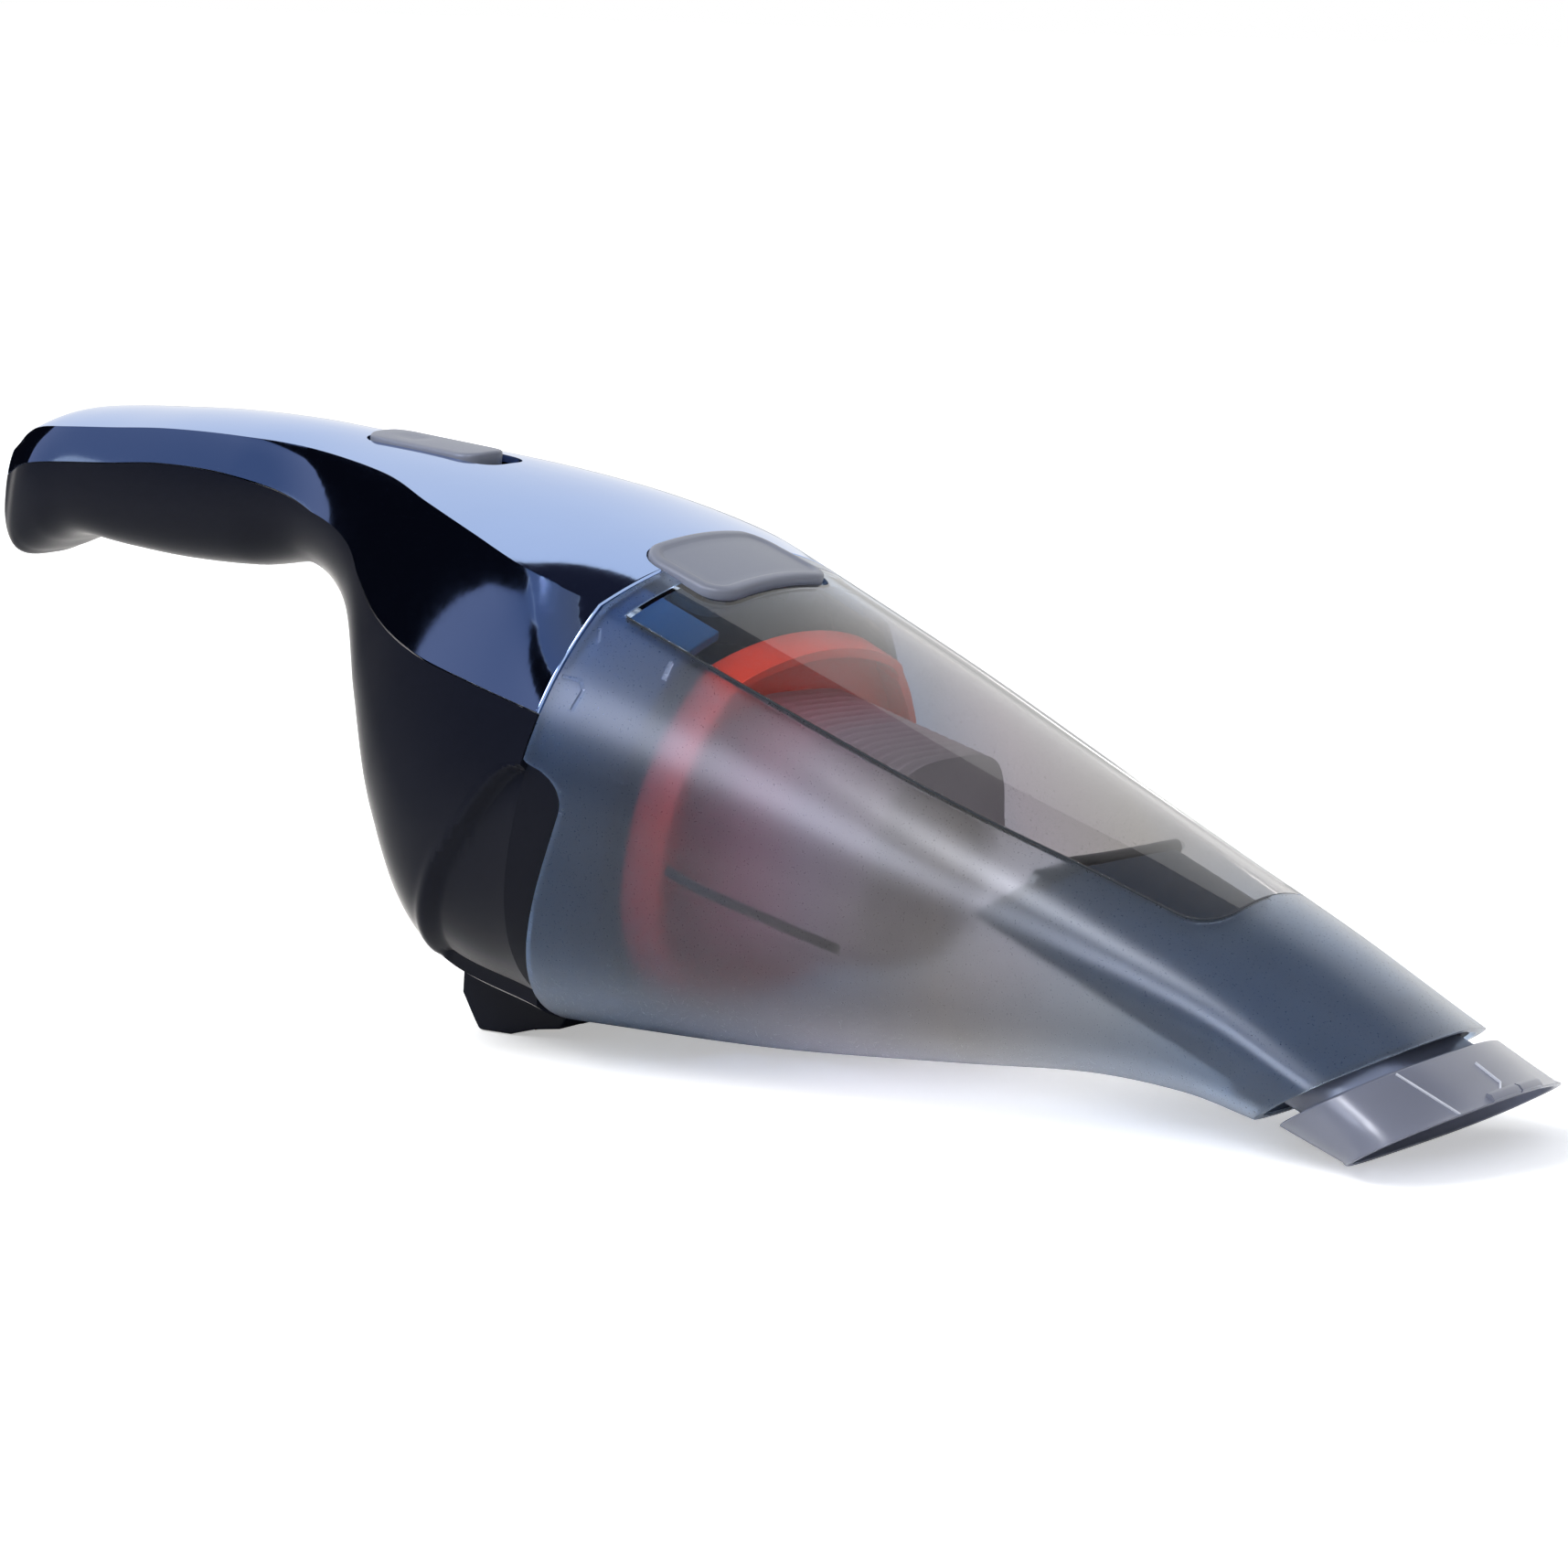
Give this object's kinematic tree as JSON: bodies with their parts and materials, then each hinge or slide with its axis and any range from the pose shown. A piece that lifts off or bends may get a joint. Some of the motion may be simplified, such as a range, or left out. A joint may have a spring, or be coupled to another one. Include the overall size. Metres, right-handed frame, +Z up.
{
  "type": "handheld vacuum cleaner",
  "caption": "Cordless handheld vacuum: arched handle and motor pod, translucent pull-off dust bowl with a pleated filter, and a pull-out nozzle with a slotted lip.",
  "frame": {"origin": "middle of the charging foot's flat underside", "axes": "+X forward to the nozzle lip, +Y to the left, +Z up; the foot and the nozzle lip rest on z = 0"},
  "size_m": [0.4185, 0.122, 0.137],
  "materials": {
    "housing": "moulded, fine grain",
    "plating": "mirror blue plating",
    "trim_grey": "satin moulded",
    "smoke": "translucent, lightly frosted",
    "clear": "clear, glossy",
    "nozzle": "translucent, glossy",
    "duct": "glossy moulded",
    "rim_red": "satin moulded",
    "filter_cloth": "pleated",
    "rubber": "matte",
    "dark_plastic": "moulded",
    "white_plastic": "moulded",
    "steel": "bright",
    "copper": "wound",
    "gold": "plated",
    "cell_wrap": "printed-free shrink sleeve",
    "board": "coated"
  },
  "bodies": {
    "body": {"housing_left": "housing", "housing_right": "housing", "top_cover": "plating", "front_collar": "housing", "bulkhead": "dark_plastic", "latch_tray": "dark_plastic", "release_spring": "steel", "fan_housing": "dark_plastic", "motor_can": "steel", "motor_end_cap": "white_plastic", "motor_screws": "steel", "cell_holder": "dark_plastic", "battery_cells": "cell_wrap", "cell_contacts": "steel", "circuit_board": "board", "microswitch": "dark_plastic", "charging_foot": "dark_plastic", "charging_contacts": "gold"},
    "rotor": {"impeller": "white_plastic", "motor_shaft": "steel", "armature": "copper"},
    "switch": {"power_switch": "trim_grey"},
    "button": {"release_button": "trim_grey"},
    "filter": {"filter_frame": "rim_red", "pleated_filter": "filter_cloth", "filter_seal": "rubber"},
    "bowl": {"dust_bowl": "smoke", "bowl_window": "clear", "intake_duct": "duct", "flap_pin": "steel"},
    "flap": {"intake_flap": "duct"},
    "nozzle": {"crevice_nozzle": "nozzle"}
  },
  "joints": [
    {"name": "fan_spin", "type": "hinge", "parent": "body", "child": "rotor", "pos_m": [0.0375, 0, 0.059], "axis": [0.9691, 0, -0.2467], "continuous": true},
    {"name": "power_slide", "type": "slide", "parent": "body", "child": "switch", "axis": [0.9954, 0, -0.0961], "range_m": [0, 0.005]},
    {"name": "release_press", "type": "slide", "parent": "body", "child": "button", "axis": [-0.345, 0, -0.9386], "range_m": [0, 0.0025], "stiffness_N_per_m": 400, "deforming": ["release_spring"]},
    {"name": "filter_pull", "type": "slide", "parent": "body", "child": "filter", "axis": [0.9691, 0, -0.2467], "range_m": [0, 0.008]},
    {"name": "bowl_slide", "type": "slide", "parent": "body", "child": "bowl", "axis": [0.9691, 0, -0.2467], "range_m": [0, 0.12]},
    {"name": "flap_hinge", "type": "hinge", "parent": "bowl", "child": "flap", "pos_m": [0.15595, 0, 0.0538], "axis": [0, 1, 0], "range_deg": [0, 35]},
    {"name": "nozzle_slide", "type": "slide", "parent": "bowl", "child": "nozzle", "axis": [0.9205, 0, -0.3907], "range_m": [0, 0.05]}
  ]
}
